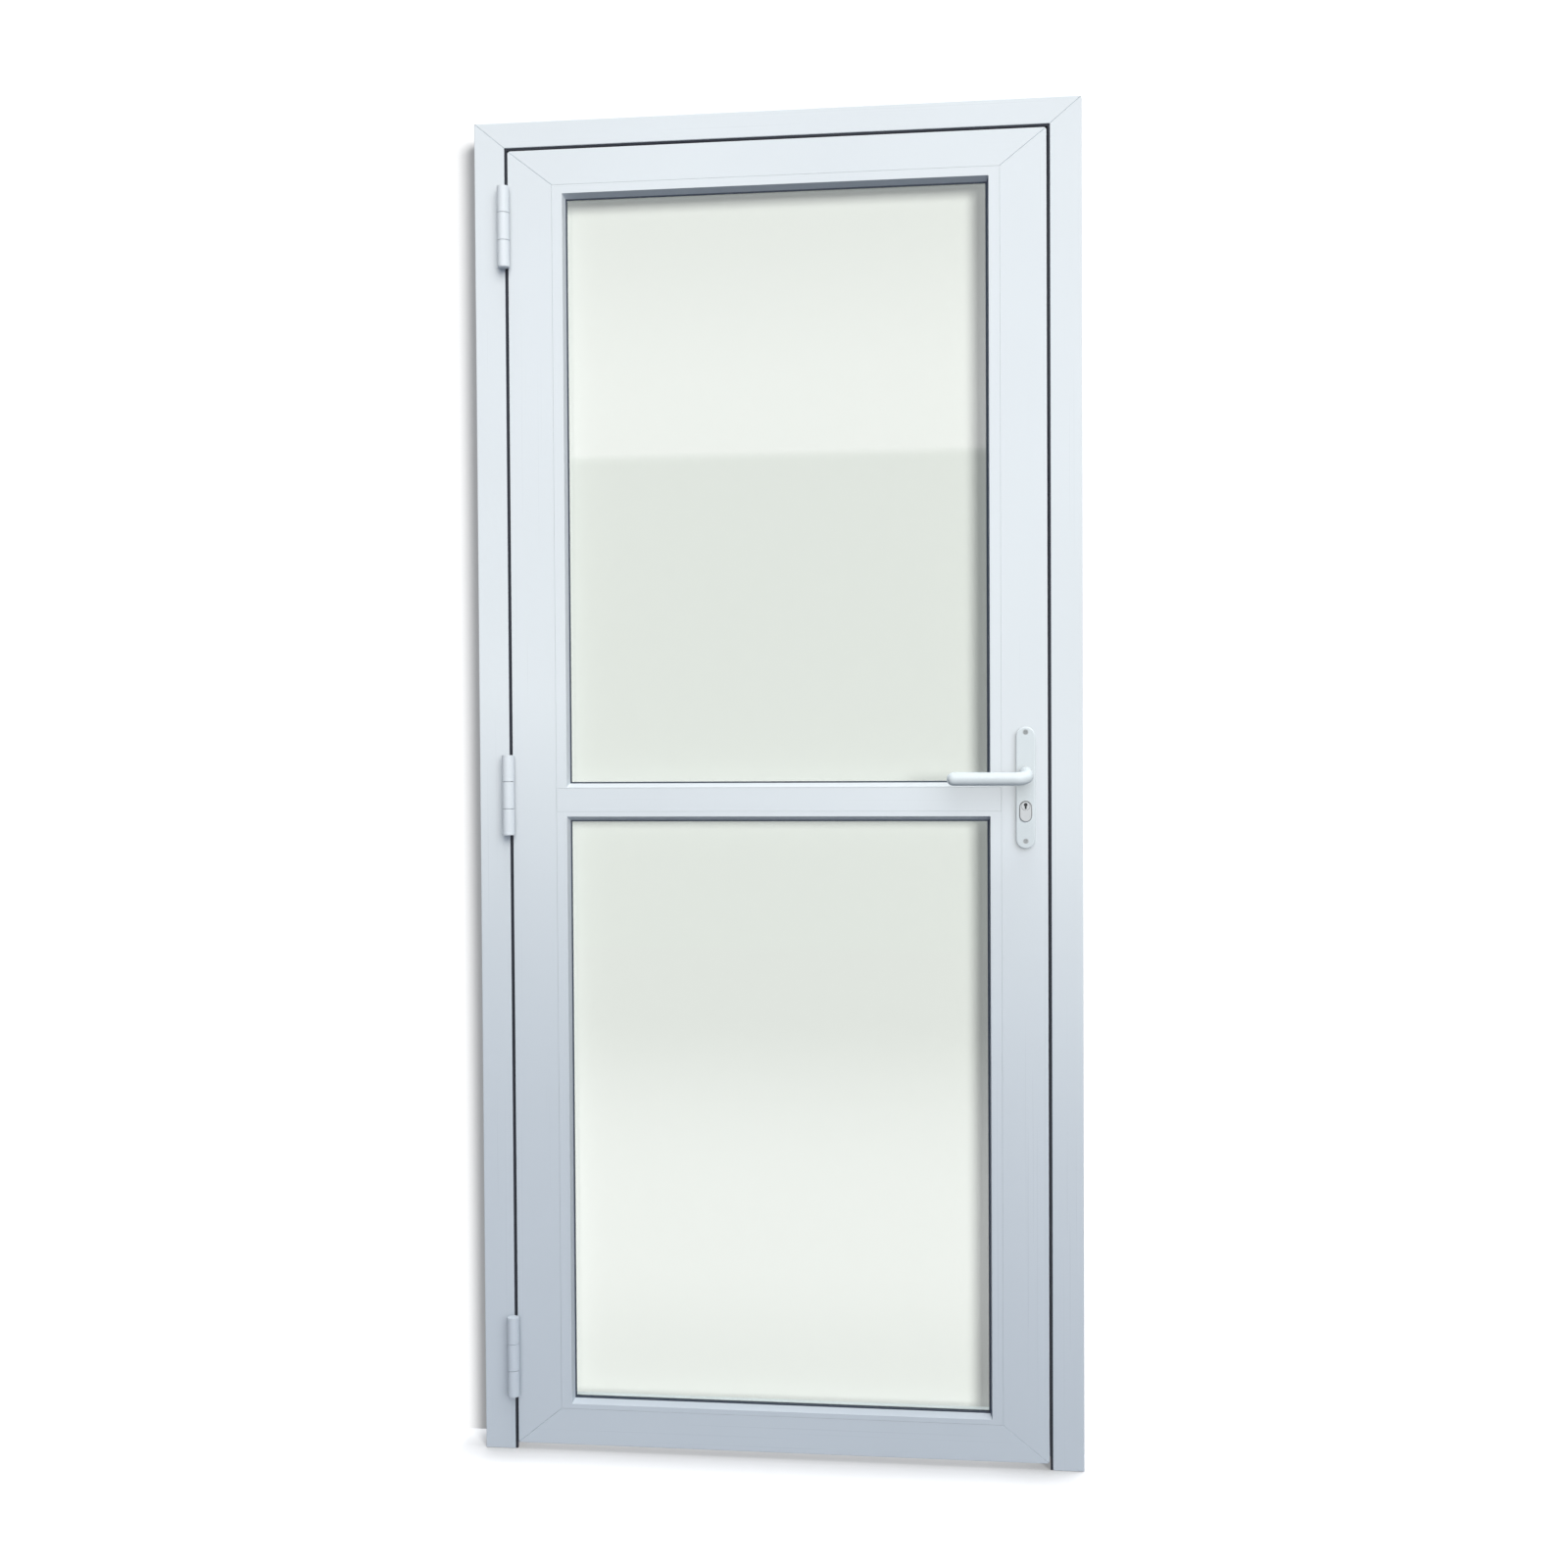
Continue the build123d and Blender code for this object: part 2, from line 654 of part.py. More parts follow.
def make_door():
    parts = make_frame()
    parts.update(make_seals())
    parts.update(make_leaf())
    parts.update(make_glazing())

    for name, height in hinge_heights.items():
        frame_half, leaf_half, pin, jamb_recess, leaf_recess = make_hinge(height)
        parts[f"{name}_hinge_frame_half"] = frame_half
        parts[f"{name}_hinge_leaf_half"] = leaf_half
        parts[f"{name}_hinge_pin"] = pin
        parts["hinge_jamb"] -= jamb_recess
        parts["hinge_stile"] -= leaf_recess

    case, faceplate, bolts, strike, strike_recess, lock_room = make_lock()
    parts["lock_case"] = case
    parts["lock_faceplate"] = faceplate
    parts["lock_bolts"] = Compound(children=[bolt.solid() for bolt in bolts])
    parts["strike_plate"] = strike
    parts["lock_jamb"] -= strike_recess
    parts["lock_stile"] -= lock_room
    parts["lock_stile"] -= turned(
        spindle_bore_radius, spindle_x, spindle_height, front - 1, leaf_back + 1
    )
    parts["lock_stile"] -= pill(
        cylinder_width + cylinder_hole_gap, cylinder_height + cylinder_hole_gap,
        spindle_x, cylinder_middle, front - 1, leaf_back + 1,
    )

    backplate = make_backplate()
    screws = make_plate_screws()
    parts["back_backplate"] = mirrored(backplate)
    for height in plate_screw_heights:
        head_y = plate_front + plate_screw_sink
        backplate -= turned(plate_screw_radius, spindle_x, height, plate_front - 1, front + 1)
        backplate -= turned(
            plate_screw_head_radius + plate_screw_ring, spindle_x, height, plate_front - 1, head_y
        )
        parts["lock_stile"] -= turned(
            plate_screw_radius, spindle_x, height, front - 1, head_y + plate_screw_length
        )
        cone_height = plate_screw_head_radius - plate_screw_radius
        seat = Pos(spindle_x, head_y, height) * Rot(-90, 0, 0) * Pos(0, 0, cone_height / 2)
        backplate -= seat * Cone(plate_screw_head_radius, plate_screw_radius, cone_height)
    parts["front_backplate"] = backplate
    parts["plate_screws"] = Compound(children=[screw.solid() for screw in screws])
    parts["lock_cylinder"] = make_cylinder()

    lever = make_lever()
    parts["front_lever"] = lever
    parts["back_lever"] = mirrored(lever)
    spindle_end = plate_front - collar_height - lever_running_gap - socket_depth
    parts["spindle"] = spindle_bar(spindle_end, 2 * leaf_middle - spindle_end)
    return parts


os.makedirs("parts", exist_ok=True)
for node, shape in make_door().items():
    export_step(shape, f"parts/{node}.step")
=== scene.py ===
import math

import bpy
from mathutils import Matrix, Vector


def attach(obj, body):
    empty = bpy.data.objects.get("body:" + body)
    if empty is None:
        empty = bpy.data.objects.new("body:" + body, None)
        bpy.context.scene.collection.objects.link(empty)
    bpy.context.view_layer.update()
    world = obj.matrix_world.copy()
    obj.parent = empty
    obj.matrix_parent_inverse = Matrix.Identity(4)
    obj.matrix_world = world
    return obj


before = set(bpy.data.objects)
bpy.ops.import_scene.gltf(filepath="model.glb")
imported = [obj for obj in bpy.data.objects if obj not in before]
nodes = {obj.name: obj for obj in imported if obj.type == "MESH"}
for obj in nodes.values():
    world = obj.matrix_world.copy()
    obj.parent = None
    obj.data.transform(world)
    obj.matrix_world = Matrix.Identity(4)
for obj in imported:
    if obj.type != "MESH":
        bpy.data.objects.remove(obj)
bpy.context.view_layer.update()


# The viewpoint: a little right of the door's middle, at the height of a standing camera,
# turned slightly left and tipped slightly down.
camera_place = Vector((0.8225, -2.835, 1.122))
camera_turn = math.radians(6.86)
camera_tip = math.radians(88.73)
camera_roll = math.radians(-0.33)
camera_lens = 41.65
camera_sensor = 36.0

camera_data = bpy.data.cameras.new("camera")
camera_data.lens = camera_lens
camera_data.sensor_width = camera_sensor
camera = bpy.data.objects.new("camera", camera_data)
bpy.context.scene.collection.objects.link(camera)
camera.matrix_world = (
    Matrix.Translation(camera_place)
    @ Matrix.Rotation(camera_turn, 4, "Z")
    @ Matrix.Rotation(camera_tip, 4, "X")
    @ Matrix.Rotation(camera_roll, 4, "Z")
)
bpy.context.scene.camera = camera
bpy.context.scene.view_settings.view_transform = "Standard"


# The room: white wherever it is seen or shows through glass, a paler grey in anything shiny,
# and a faint cool light from all round.
room_white = (1.0, 1.0, 1.0, 1.0)
room_in_shine = (0.64, 0.66, 0.68, 1.0)
room_light = (0.076, 0.096, 0.128, 1.0)
half_a_bounce = 0.5


def add_node(tree, kind, **settings):
    node = tree.nodes.new(kind)
    for name, value in settings.items():
        setattr(node, name, value)
    return node


def wire(tree, source, target):
    tree.links.new(source, target)


def compare(tree, source, operation, level):
    test = add_node(tree, "ShaderNodeMath", operation=operation)
    wire(tree, source, test.inputs[0])
    test.inputs[1].default_value = level
    return test.outputs[0]


def mix_colours(tree, mask, first, second):
    mix = add_node(tree, "ShaderNodeMix", data_type="RGBA")
    sockets = [mix.inputs[0], mix.inputs[6], mix.inputs[7]]
    for socket, value in zip(sockets, (mask, first, second)):
        if isinstance(value, bpy.types.NodeSocket):
            wire(tree, value, socket)
        else:
            socket.default_value = value
    return mix.outputs[2]


world = bpy.data.worlds.new("studio")
bpy.context.scene.world = world
world.use_nodes = True
tree = world.node_tree
tree.nodes.clear()
path = add_node(tree, "ShaderNodeLightPath")
unlit_yet = compare(tree, path.outputs["Diffuse Depth"], "LESS_THAN", half_a_bounce)
in_shine = compare(tree, path.outputs["Glossy Depth"], "GREATER_THAN", half_a_bounce)
seen_colour = mix_colours(tree, in_shine, room_white, room_in_shine)
room_colour = mix_colours(tree, unlit_yet, room_light, seen_colour)
background = add_node(tree, "ShaderNodeBackground")
wire(tree, room_colour, background.inputs["Color"])
world_output = add_node(tree, "ShaderNodeOutputWorld")
wire(tree, background.outputs[0], world_output.inputs["Surface"])


# The lamps: a broad fill from the front right, a key lamp higher up whose lower half is cut off
# by a flag, a soft lamp overhead, two behind for the other side of the door, and one that lights
# only the wall and floor and so throws the door's shadow there.
fill_direction = Vector((0.42, -1.0, 0.48))
fill_strength = 1.87
fill_colour = (0.890, 0.915, 0.960)
fill_softness = math.radians(70.0)
top_direction = Vector((0.02, -0.14, 1.0))
top_strength = 1.18
top_colour = (0.97, 0.985, 1.0)
top_softness = math.radians(24.0)
rear_direction = Vector((0.25, 1.0, 0.6))
rear_strength = 2.1
rear_colour = (0.96, 0.98, 1.0)
rear_softness = math.radians(20.0)
side_direction = Vector((-0.8, 1.0, 0.45))
side_strength = 1.7
key_direction = Vector((0.34, -1.0, 0.62))
key_strength = 1.54
key_colour = (1.0, 0.925, 0.815)
key_softness = math.radians(46.0)
shadow_direction = Vector((0.53, -1.0, 0.16))
shadow_strength = 9.1
shadow_colour = (1.0, 1.0, 1.0)
shadow_softness = math.radians(19.0)


def add_sun(name, direction, strength, colour, softness):
    data = bpy.data.lights.new(name, "SUN")
    data.energy = strength
    data.color = colour
    data.angle = softness
    lamp = bpy.data.objects.new(name, data)
    lamp.rotation_mode = "QUATERNION"
    lamp.rotation_quaternion = direction.to_track_quat("Z", "Y")
    lamp.visible_transmission = False
    lamp.visible_glossy = False
    bpy.context.scene.collection.objects.link(lamp)
    return lamp


fill_lamp = add_sun("fill_lamp", fill_direction, fill_strength, fill_colour, fill_softness)
top_lamp = add_sun("top_lamp", top_direction, top_strength, top_colour, top_softness)
rear_lamp = add_sun("rear_lamp", rear_direction, rear_strength, rear_colour, rear_softness)
side_lamp = add_sun("side_lamp", side_direction, side_strength, rear_colour, rear_softness)
key_lamp = add_sun("key_lamp", key_direction, key_strength, key_colour, key_softness)
shadow_lamp = add_sun(
    "shadow_lamp", shadow_direction, shadow_strength, shadow_colour, shadow_softness
)


# The studio floor and the white wall just behind the door: both are painted white and light
# nothing themselves. The wall shows only from the front and takes the door's soft shadow from the
# shadow lamp; the floor has a painted shadow that darkens it close to the door, and it shows
# paler and darker stretches in the glass.
door_middle = 0.47
wall_setback = 0.040
wall_half_width = 3.2
wall_half_height = 1.6
wall_paint = (0.3, 0.3, 0.3, 1.0)
wall_glow = 0.275
floor_half = 7.0
floor_level = -0.0005
floor_glow = 0.68
contact_reach = 0.10
contact_lean = (0.50, 0.62, 0.60)
contact_range = (0.22, 0.97)
contact_shades = (0.33, 1.0)
contact_fade_aside = (door_middle, door_middle + 0.06)
contact_fade_before = (-0.74, -0.80)
shine_colour = (0.96, 0.92, 1.0, 1.0)
shine_nearing = (-4.6, -1.5)
shine_nearing_shades = (0.66, 1.62)
shine_leaving = (-1.1, -0.05)
shine_leaving_shades = (1.0, 0.55)
upright_tip = math.radians(90.0)


def deselect_all():
    if bpy.context.mode != "OBJECT":
        bpy.ops.object.mode_set(mode="OBJECT")
    bpy.ops.object.select_all(action="DESELECT")


def add_sheet(name, centre, half_x, half_y, tip):
    deselect_all()
    bpy.ops.mesh.primitive_plane_add(size=2.0, location=centre, rotation=(tip, 0.0, 0.0))
    sheet = bpy.context.object
    sheet.name = name
    sheet.scale = (half_x, half_y, 1.0)
    bpy.ops.object.transform_apply(location=True, rotation=True, scale=True)
    return sheet


def new_material(name):
    material = bpy.data.materials.new(name)
    material.use_nodes = True
    material.node_tree.nodes.clear()
    return material


def finish_material(tree, shader):
    output = add_node(tree, "ShaderNodeOutputMaterial")
    wire(tree, shader.outputs[0], output.inputs["Surface"])


def remap(tree, source, span, results=(0.0, 1.0), curve="LINEAR"):
    scaled = add_node(tree, "ShaderNodeMapRange", interpolation_type=curve)
    wire(tree, source, scaled.inputs["Value"])
    scaled.inputs["From Min"].default_value = span[0]
    scaled.inputs["From Max"].default_value = span[1]
    scaled.inputs["To Min"].default_value = results[0]
    scaled.inputs["To Max"].default_value = results[1]
    return scaled.outputs["Result"]


def combine(tree, operation, first, second, clamp=False):
    combined = add_node(tree, "ShaderNodeMath", operation=operation, use_clamp=clamp)
    wire(tree, first, combined.inputs[0])
    wire(tree, second, combined.inputs[1])
    return combined.outputs[0]


def object_axes(tree):
    place = add_node(tree, "ShaderNodeTexCoord")
    axes = add_node(tree, "ShaderNodeSeparateXYZ")
    wire(tree, place.outputs["Object"], axes.inputs[0])
    return axes.outputs


def choose_shader(tree, mask, first, second):
    chosen = add_node(tree, "ShaderNodeMixShader")
    wire(tree, mask, chosen.inputs[0])
    wire(tree, first.outputs[0], chosen.inputs[1])
    wire(tree, second.outputs[0], chosen.inputs[2])
    return chosen


def seen_in_shine(tree):
    path = add_node(tree, "ShaderNodeLightPath")
    return compare(tree, path.outputs["Glossy Depth"], "GREATER_THAN", half_a_bounce)


def add_shine(tree, strength):
    shine = add_node(tree, "ShaderNodeEmission")
    shine.inputs["Color"].default_value = shine_colour
    wire(tree, strength, shine.inputs["Strength"])
    return shine


def glowing_paint(tree, glow):
    paint = add_node(tree, "ShaderNodeBsdfDiffuse")
    lit = add_node(tree, "ShaderNodeEmission")
    lit.inputs["Strength"].default_value = glow
    board = add_node(tree, "ShaderNodeAddShader")
    wire(tree, paint.outputs[0], board.inputs[0])
    wire(tree, lit.outputs[0], board.inputs[1])
    return paint, lit, board


def wall_white():
    material = new_material("wall_white")
    tree = material.node_tree
    paint, lit, board = glowing_paint(tree, wall_glow)
    paint.inputs["Color"].default_value = wall_paint
    facing = add_node(tree, "ShaderNodeNewGeometry")
    clear = add_node(tree, "ShaderNodeBsdfTransparent")
    finish_material(tree, choose_shader(tree, facing.outputs["Backfacing"], board, clear))
    material.cycles.emission_sampling = "NONE"
    return material


# A painted shadow: the floor's colour darkens where the door hems it in, found by ambient occlusion
# and faded out beside the door and far in front of it.
def contact_shade(tree, axes):
    closeness = add_node(tree, "ShaderNodeAmbientOcclusion", samples=16)
    closeness.inputs["Distance"].default_value = contact_reach
    lean = add_node(tree, "ShaderNodeCombineXYZ")
    for socket, value in zip(lean.inputs, contact_lean):
        socket.default_value = value
    wire(tree, lean.outputs[0], closeness.inputs["Normal"])
    shade = remap(tree, closeness.outputs["AO"], contact_range, contact_shades)
    sideways = add_node(tree, "ShaderNodeMath", operation="SUBTRACT")
    wire(tree, axes["X"], sideways.inputs[0])
    sideways.inputs[1].default_value = door_middle
    away = add_node(tree, "ShaderNodeMath", operation="ABSOLUTE")
    wire(tree, sideways.outputs[0], away.inputs[0])
    beside = remap(tree, away.outputs[0], contact_fade_aside, curve="SMOOTHSTEP")
    before = remap(tree, axes["Y"], contact_fade_before, curve="SMOOTHSTEP")
    outside = combine(tree, "MAXIMUM", beside, before)
    return combine(tree, "MAXIMUM", shade, outside)


def floor_white():
    material = new_material("floor_white")
    tree = material.node_tree
    paint, lit, board = glowing_paint(tree, floor_glow)
    axes = object_axes(tree)
    shade = contact_shade(tree, axes)
    wire(tree, shade, lit.inputs["Color"])
    wire(tree, shade, paint.inputs["Color"])
    nearing = remap(tree, axes["Y"], shine_nearing, shine_nearing_shades, curve="SMOOTHSTEP")
    leaving = remap(tree, axes["Y"], shine_leaving, shine_leaving_shades, curve="SMOOTHSTEP")
    shine = add_shine(tree, combine(tree, "MULTIPLY", nearing, leaving))
    finish_material(tree, choose_shader(tree, seen_in_shine(tree), board, shine))
    material.cycles.emission_sampling = "NONE"
    return material


wall_centre = (door_middle, wall_setback, wall_half_height)
wall = add_sheet("studio_wall", wall_centre, wall_half_width, wall_half_height, upright_tip)
wall.data.materials.append(wall_white())
floor_centre = (door_middle, 0.0, floor_level)
studio_floor = add_sheet("studio_floor", floor_centre, floor_half, floor_half, 0.0)
studio_floor.data.materials.append(floor_white())
boards = (wall, studio_floor)
for board in boards:
    board.visible_shadow = False
    board.visible_diffuse = False


def list_for_lamp(name, pieces, state):
    share = bpy.data.collections.new(name)
    for piece in pieces:
        share.objects.link(piece)
        share.collection_objects[-1].light_linking.link_state = state
    return share


for lamp in (fill_lamp, key_lamp, rear_lamp, side_lamp, top_lamp):
    left_out = list_for_lamp(lamp.name + " leaves out", boards, "EXCLUDE")
    lamp.light_linking.receiver_collection = left_out
lit_alone = list_for_lamp("shadow_lamp lights", boards, "INCLUDE")
shadow_lamp.light_linking.receiver_collection = lit_alone


# The flag: a card between the key lamp and the door, which only that lamp sees. The soft edge of
# its shadow makes the light fade from above the lock down to the lower hinge. The key lamp also
# shines past the front lever and plate, and the shadow lamp past what frames the glass.
flag_reach = 1.1
flag_shadow_middle = 0.71
flag_half = 2.4
flag_depth = 1.6
flag_tilt = math.radians(9.0)

shadow_spot = Vector((door_middle, 0.0, flag_shadow_middle))
flag_edge = shadow_spot + flag_reach * key_direction.normalized()
flag_centre = (0.0, 0.0, -flag_depth / 2)
flag = add_sheet("key_flag", flag_centre, flag_half, flag_depth / 2, upright_tip)
flag.data.transform(Matrix.Translation(flag_edge) @ Matrix.Rotation(flag_tilt, 4, "Y"))
flag.data.materials.append(new_material("flag_black"))
flag.visible_camera = False
flag.visible_diffuse = False
flag.visible_glossy = False
flag.visible_transmission = False
handle_front = [nodes["front_lever"], nodes["front_backplate"]]
glass_rims = [node for name, node in nodes.items() if "bead" in name or "gasket" in name]
glass_rims.append(nodes["bottom_rail"])
passed_pieces = (
    (fill_lamp, [flag]),
    (rear_lamp, [flag]),
    (side_lamp, [flag]),
    (top_lamp, [flag]),
    (shadow_lamp, [flag] + glass_rims),
    (key_lamp, handle_front),
)
for lamp, pieces in passed_pieces:
    passed = list_for_lamp(lamp.name + " passes", pieces, "EXCLUDE")
    lamp.light_linking.blocker_collection = passed


# The bright board that the glass mirrors: it hangs in front of the door, above head height, and
# shows only in reflections, with its lower edge crossing the upper pane.
board_middle = 0.35
board_distance = -1.5
board_low = 1.796
board_fade = 0.030
board_high = 3.4
board_half = 2.4
board_dimming = (1.93, 2.5)
board_shades = (1.65, 0.95)

board = add_sheet(
    "mirror_board",
    (board_middle, board_distance, (board_low + board_high) / 2),
    board_half,
    (board_high - board_low) / 2,
    upright_tip,
)
board_material = new_material("mirror_board_white")
tree = board_material.node_tree
clear = add_node(tree, "ShaderNodeBsdfTransparent")
axes = object_axes(tree)
shine = add_shine(tree, remap(tree, axes["Z"], board_dimming, board_shades, curve="SMOOTHSTEP"))
fading = remap(tree, axes["Z"], (board_low, board_low + board_fade), curve="SMOOTHSTEP")
shown = combine(tree, "MULTIPLY", seen_in_shine(tree), fading)
finish_material(tree, choose_shader(tree, shown, clear, shine))
board_material.cycles.emission_sampling = "NONE"
board.data.materials.append(board_material)
board.visible_shadow = False
board.visible_diffuse = False


# The frame, the leaf and the glazing beads: lengths of white extruded plastic, mitred and welded
# at the corners. The extruding leaves fine lines along each length, and the joints, grooves and
# recesses are darkened partly by dust and partly by painted shade.
# The slope of the two beads on the lock side that faces away from the lamps is painted
# dark, as painted shade.
upvc_white = (0.800, 0.858, 0.890, 1.0)
upvc_shaded = (0.775, 0.830, 0.862, 1.0)
joint_dust_and_shade = (0.42, 0.43, 0.42, 1.0)
slope_painted_shade = (0.08, 0.11, 0.17, 1.0)
shaded_slope_limit = -0.3
dust_and_shade_depths = (0.55, 0.05)
dust_and_shade_patch_scale = 60.0
drift_scale = 2.2
noise_span = (0.3, 0.7)
bump_strength = 0.5
upright_lines = (420.0, 420.0, 1.5)
level_lines = (1.5, 420.0, 420.0)
plastic_line_depth = 0.00004
plastic_roughness = (0.27, 0.36)
plastic_refraction = 1.49
uprights = (
    "hinge_jamb", "lock_jamb", "hinge_stile", "lock_stile",
    "upper_left_bead", "upper_right_bead", "lower_left_bead", "lower_right_bead",
)
levels = (
    "head", "top_rail", "mid_rail", "bottom_rail",
    "upper_top_bead", "upper_bottom_bead", "lower_top_bead", "lower_bottom_bead",
)


def new_group(name, inputs, outputs):
    group = bpy.data.node_groups.new(name, "ShaderNodeTree")
    for label, kind, value in inputs:
        socket = group.interface.new_socket(name=label, in_out="INPUT", socket_type=kind)
        socket.default_value = value
    for label, kind in outputs:
        group.interface.new_socket(name=label, in_out="OUTPUT", socket_type=kind)
    return group


def finish_group(group, **results):
    output = add_node(group, "NodeGroupOutput")
    for name, source in results.items():
        wire(group, source, output.inputs[name])


def place_group(tree, group, **values):
    node = add_node(tree, "ShaderNodeGroup", node_tree=group)
    for name, value in values.items():
        socket = node.inputs[name.replace("_", " ")]
        if isinstance(value, bpy.types.NodeSocket):
            wire(tree, value, socket)
        else:
            socket.default_value = value
    return node


colour_socket = "NodeSocketColor"
number_socket = "NodeSocketFloat"
vector_socket = "NodeSocketVector"

# Darkening by ambient occlusion where a surface is hemmed in: partly dust settled in joints, partly
# painted shade in corners, grooves and recesses.
dust_and_shade = new_group(
    "dust and painted shade",
    (
        ("Paint", colour_socket, (1.0, 1.0, 1.0, 1.0)),
        ("Dust", colour_socket, (0.4, 0.4, 0.4, 1.0)),
        ("Reach", number_socket, 0.006),
        ("Amount", number_socket, 0.2),
    ),
    (("Paint", colour_socket), ("Mask", number_socket)),
)
given = add_node(dust_and_shade, "NodeGroupInput")
corner = add_node(dust_and_shade, "ShaderNodeAmbientOcclusion", samples=8)
wire(dust_and_shade, given.outputs["Reach"], corner.inputs["Distance"])
depth = remap(dust_and_shade, corner.outputs["AO"], dust_and_shade_depths)
patches = add_node(dust_and_shade, "ShaderNodeTexCoord")
broken = add_node(dust_and_shade, "ShaderNodeTexNoise")
broken.inputs["Scale"].default_value = dust_and_shade_patch_scale
broken.inputs["Detail"].default_value = 3.0
wire(dust_and_shade, patches.outputs["Object"], broken.inputs["Vector"])
uneven = combine(dust_and_shade, "MULTIPLY", depth, broken.outputs["Fac"])
share = combine(dust_and_shade, "MULTIPLY", uneven, given.outputs["Amount"], clamp=True)
dusted_and_shaded = mix_colours(dust_and_shade, share, given.outputs["Paint"], given.outputs["Dust"])
finish_group(dust_and_shade, Paint=dusted_and_shaded, Mask=share)

drawn_grain = new_group(
    "drawn grain",
    (("Stretch", vector_socket, (500.0, 500.0, 2.0)), ("Detail", number_socket, 2.0)),
    (("Lines", number_socket), ("Drift", number_socket)),
)
given = add_node(drawn_grain, "NodeGroupInput")
spot = add_node(drawn_grain, "ShaderNodeTexCoord")
stretched = add_node(drawn_grain, "ShaderNodeVectorMath", operation="MULTIPLY")
wire(drawn_grain, spot.outputs["Object"], stretched.inputs[0])
wire(drawn_grain, given.outputs["Stretch"], stretched.inputs[1])
lines = add_node(drawn_grain, "ShaderNodeTexNoise")
lines.inputs["Scale"].default_value = 1.0
wire(drawn_grain, given.outputs["Detail"], lines.inputs["Detail"])
wire(drawn_grain, stretched.outputs[0], lines.inputs["Vector"])
drift = add_node(drawn_grain, "ShaderNodeTexNoise")
drift.inputs["Scale"].default_value = drift_scale
drift.inputs["Detail"].default_value = 2.0
wire(drawn_grain, spot.outputs["Object"], drift.inputs["Vector"])
finish_group(drawn_grain, Lines=lines.outputs["Fac"], Drift=drift.outputs["Fac"])


def spread(tree, noise, results=(0.0, 1.0)):
    return remap(tree, noise, noise_span, results)


def add_bump(tree, height, distance, strength, shader):
    bump = add_node(tree, "ShaderNodeBump")
    bump.inputs["Distance"].default_value = distance
    bump.inputs["Strength"].default_value = strength
    wire(tree, height, bump.inputs["Height"])
    wire(tree, bump.outputs["Normal"], shader.inputs["Normal"])


def extruded_plastic(name, stretch, slope_shade_colour=None):
    material = new_material(name)
    tree = material.node_tree
    grain = place_group(tree, drawn_grain, Stretch=stretch, Detail=2.0)
    drifting = spread(tree, grain.outputs["Drift"])
    tone = mix_colours(tree, drifting, upvc_white, upvc_shaded)
    dusted_and_shaded = place_group(tree, dust_and_shade, Paint=tone, Dust=joint_dust_and_shade, Reach=0.005, Amount=0.75)
    paint = dusted_and_shaded.outputs["Paint"]
    # Painted shade: surfaces facing left, away from the lamps, take the dark shade colour.
    if slope_shade_colour:
        facing = add_node(tree, "ShaderNodeTexCoord")
        split = add_node(tree, "ShaderNodeSeparateXYZ")
        wire(tree, facing.outputs["Normal"], split.inputs[0])
        slope = compare(tree, split.outputs["X"], "LESS_THAN", shaded_slope_limit)
        paint = mix_colours(tree, slope, paint, slope_shade_colour)
    shader = add_node(tree, "ShaderNodeBsdfPrincipled")
    wire(tree, paint, shader.inputs["Base Color"])
    roughness = spread(tree, grain.outputs["Lines"], plastic_roughness)
    wire(tree, roughness, shader.inputs["Roughness"])
    shader.inputs["IOR"].default_value = plastic_refraction
    add_bump(tree, grain.outputs["Lines"], plastic_line_depth, bump_strength, shader)
    finish_material(tree, shader)
    return material


def dress(names, material):
    for name in names:
        mesh = nodes[name].data
        mesh.materials.clear()
        mesh.materials.append(material)


upright_upvc = extruded_plastic("white upvc upright", upright_lines)
upvc_with_painted_shade = extruded_plastic("white upvc with painted slope shade", upright_lines, slope_painted_shade)
level_upvc = extruded_plastic("white upvc level", level_lines)
dress(uprights, upright_upvc)
dress(("upper_right_bead", "lower_right_bead"), upvc_with_painted_shade)
dress(levels, level_upvc)


# The seals: black rubber strips in the gap round the leaf and on the stop, and the grey gasket
# lips that hold the panes, all pushed into grooves and slightly powdery.
seal_black = (0.008, 0.011, 0.018, 1.0)
gasket_grey = (0.045, 0.060, 0.085, 1.0)
rubber_bloom = (0.05, 0.055, 0.065, 1.0)
bloom_amounts = (0.0, 0.35)
rubber_specks = (900.0, 900.0, 900.0)
rubber_speck_depth = 0.00008
rubber_roughness = (0.50, 0.68)
rubber_refraction = 1.5


def rubber(name, colour):
    material = new_material(name)
    tree = material.node_tree
    grain = place_group(tree, drawn_grain, Stretch=rubber_specks, Detail=3.0)
    bloom = spread(tree, grain.outputs["Drift"], bloom_amounts)
    tone = mix_colours(tree, bloom, colour, rubber_bloom)
    shader = add_node(tree, "ShaderNodeBsdfPrincipled")
    wire(tree, tone, shader.inputs["Base Color"])
    roughness = spread(tree, grain.outputs["Lines"], rubber_roughness)
    wire(tree, roughness, shader.inputs["Roughness"])
    shader.inputs["IOR"].default_value = rubber_refraction
    add_bump(tree, grain.outputs["Lines"], rubber_speck_depth, bump_strength, shader)
    finish_material(tree, shader)
    return material


dress(("edge_seal", "stop_seal"), rubber("black seal rubber", seal_black))
dress(("upper_gaskets", "lower_gaskets"), rubber("grey gasket rubber", gasket_grey))


# The sealed glass units: two sheets of clear float glass, faintly green, held apart by a dark
# spacer bar with a row of small breathing holes.
glass_tint = (0.861, 0.882, 0.849, 1.0)
glass_refraction = 1.5
ripple_scale = 3.0
ripple_depth = 0.0002
ripple_strength = 0.1
spacer_dark = (0.045, 0.050, 0.058, 1.0)
spacer_hole = (0.010, 0.010, 0.012, 1.0)
spacer_roughness = 0.45
hole_scale = 260.0
hole_edge = 0.4
hole_depth = 0.0002
hole_strength = 0.4
panes = ("upper_front_pane", "upper_back_pane", "lower_front_pane", "lower_back_pane")

